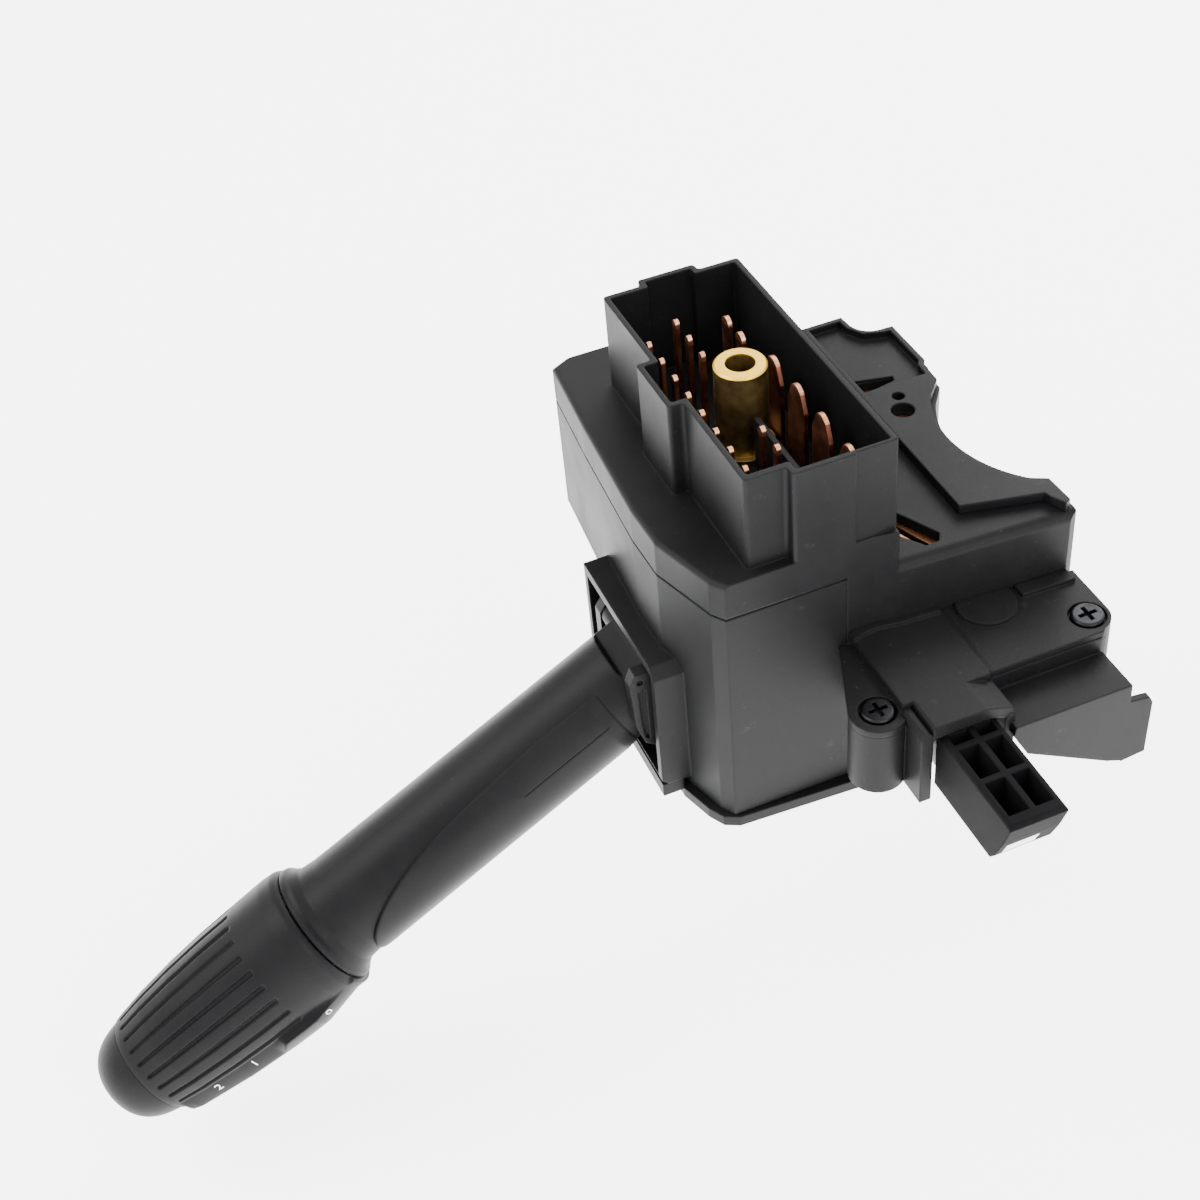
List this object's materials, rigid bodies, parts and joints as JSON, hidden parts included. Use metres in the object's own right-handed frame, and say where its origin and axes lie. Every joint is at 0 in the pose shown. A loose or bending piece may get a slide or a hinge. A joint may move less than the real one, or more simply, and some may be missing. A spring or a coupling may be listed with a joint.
{
  "type": "combination stalk switch",
  "caption": "Steering column switch: turn and flash stalk with a turning light knob, hazard push button, and a wide connector well on top.",
  "frame": {"origin": "middle of the flat seat pad under the column side of the housing", "axes": "+Z out of the seat, along the steering column, towards the connector; +X towards the hazard button; -Y towards the stalk"},
  "size_m": [0.1179, 0.1867, 0.123],
  "materials": {
    "housing": "moulded black, light sheen",
    "knob": "satin black",
    "brass": "turned brass",
    "copper": "bare copper alloy",
    "steel": "plain steel",
    "dark_screw": "black oxide",
    "board": "phenolic board",
    "white_nylon": "natural nylon"
  },
  "bodies": {
    "housing": {"lower_housing": "housing", "upper_cover": "housing", "bottom_cover": "housing", "column_plate": "housing", "hazard_housing": "housing", "hazard_cover": "housing", "connector_bush": "brass", "signal_pins": "copper", "middle_pins": "copper", "back_pins": "copper", "power_blades": "copper", "contact_board": "board", "deck_contacts": "copper", "tray_contact": "copper", "plate_contact": "copper", "turn_contacts": "copper", "pivot_post": "steel", "detent_track": "white_nylon", "bottom_screws": "dark_screw", "hazard_screws": "dark_screw", "hazard_contacts": "copper"},
    "carrier": {"turn_carrier": "housing", "tilt_pin": "steel", "carrier_wiper": "copper"},
    "detent": {"detent_plunger": "white_nylon", "detent_spring": "steel"},
    "flash": {"flash_plunger": "white_nylon", "flash_spring": "steel"},
    "stalk": {"stalk_lever": "knob", "stalk_contacts": "board"},
    "knob": {"light_knob": "knob", "knob_cap": "knob", "knob_wiper": "copper"},
    "button": {"hazard_button": "knob", "hazard_slider": "white_nylon", "hazard_bridge": "copper", "hazard_spring": "steel"},
    "pawl": {"cancel_pawl": "white_nylon"}
  },
  "joints": [
    {"name": "turn_signal", "type": "hinge", "parent": "housing", "child": "carrier", "pos_m": [0.0052, -0.048, -0.01], "axis": [0, 0, 1], "range_deg": [-9, 9]},
    {"name": "detent_push", "type": "slide", "parent": "carrier", "child": "detent", "axis": [0, -1, 0], "range_m": [0, 0.0008], "stiffness_N_per_m": 300, "springref_m": -0.002},
    {"name": "flash_pull", "type": "hinge", "parent": "carrier", "child": "stalk", "pos_m": [0.0052, -0.0544, -0.0046], "axis": [1, 0, 0], "range_deg": [0, 7], "stiffness_Nm_per_rad": 3, "springref_deg": -2.86},
    {"name": "flash_push", "type": "slide", "parent": "carrier", "child": "flash", "axis": [0, 1, 0], "range_m": [0, 0.0015]},
    {"name": "light_turn", "type": "hinge", "parent": "stalk", "child": "knob", "pos_m": [0.0052, -0.0572, -0.01196], "axis": [0.0185, -0.8828, -0.4695], "range_deg": [0, 60]},
    {"name": "hazard_press", "type": "slide", "parent": "housing", "child": "button", "axis": [-1, 0, 0], "range_m": [0, 0.005], "stiffness_N_per_m": 300, "springref_m": -0.002},
    {"name": "cancel_reach", "type": "slide", "parent": "housing", "child": "pawl", "axis": [0, 1, 0], "range_m": [0, 0.003], "stiffness_N_per_m": 100, "springref_m": -0.001}
  ],
  "couplings": [
    {"joint": "flash_push", "follows": "flash_pull", "m_per_rad": 0.00945}
  ]
}
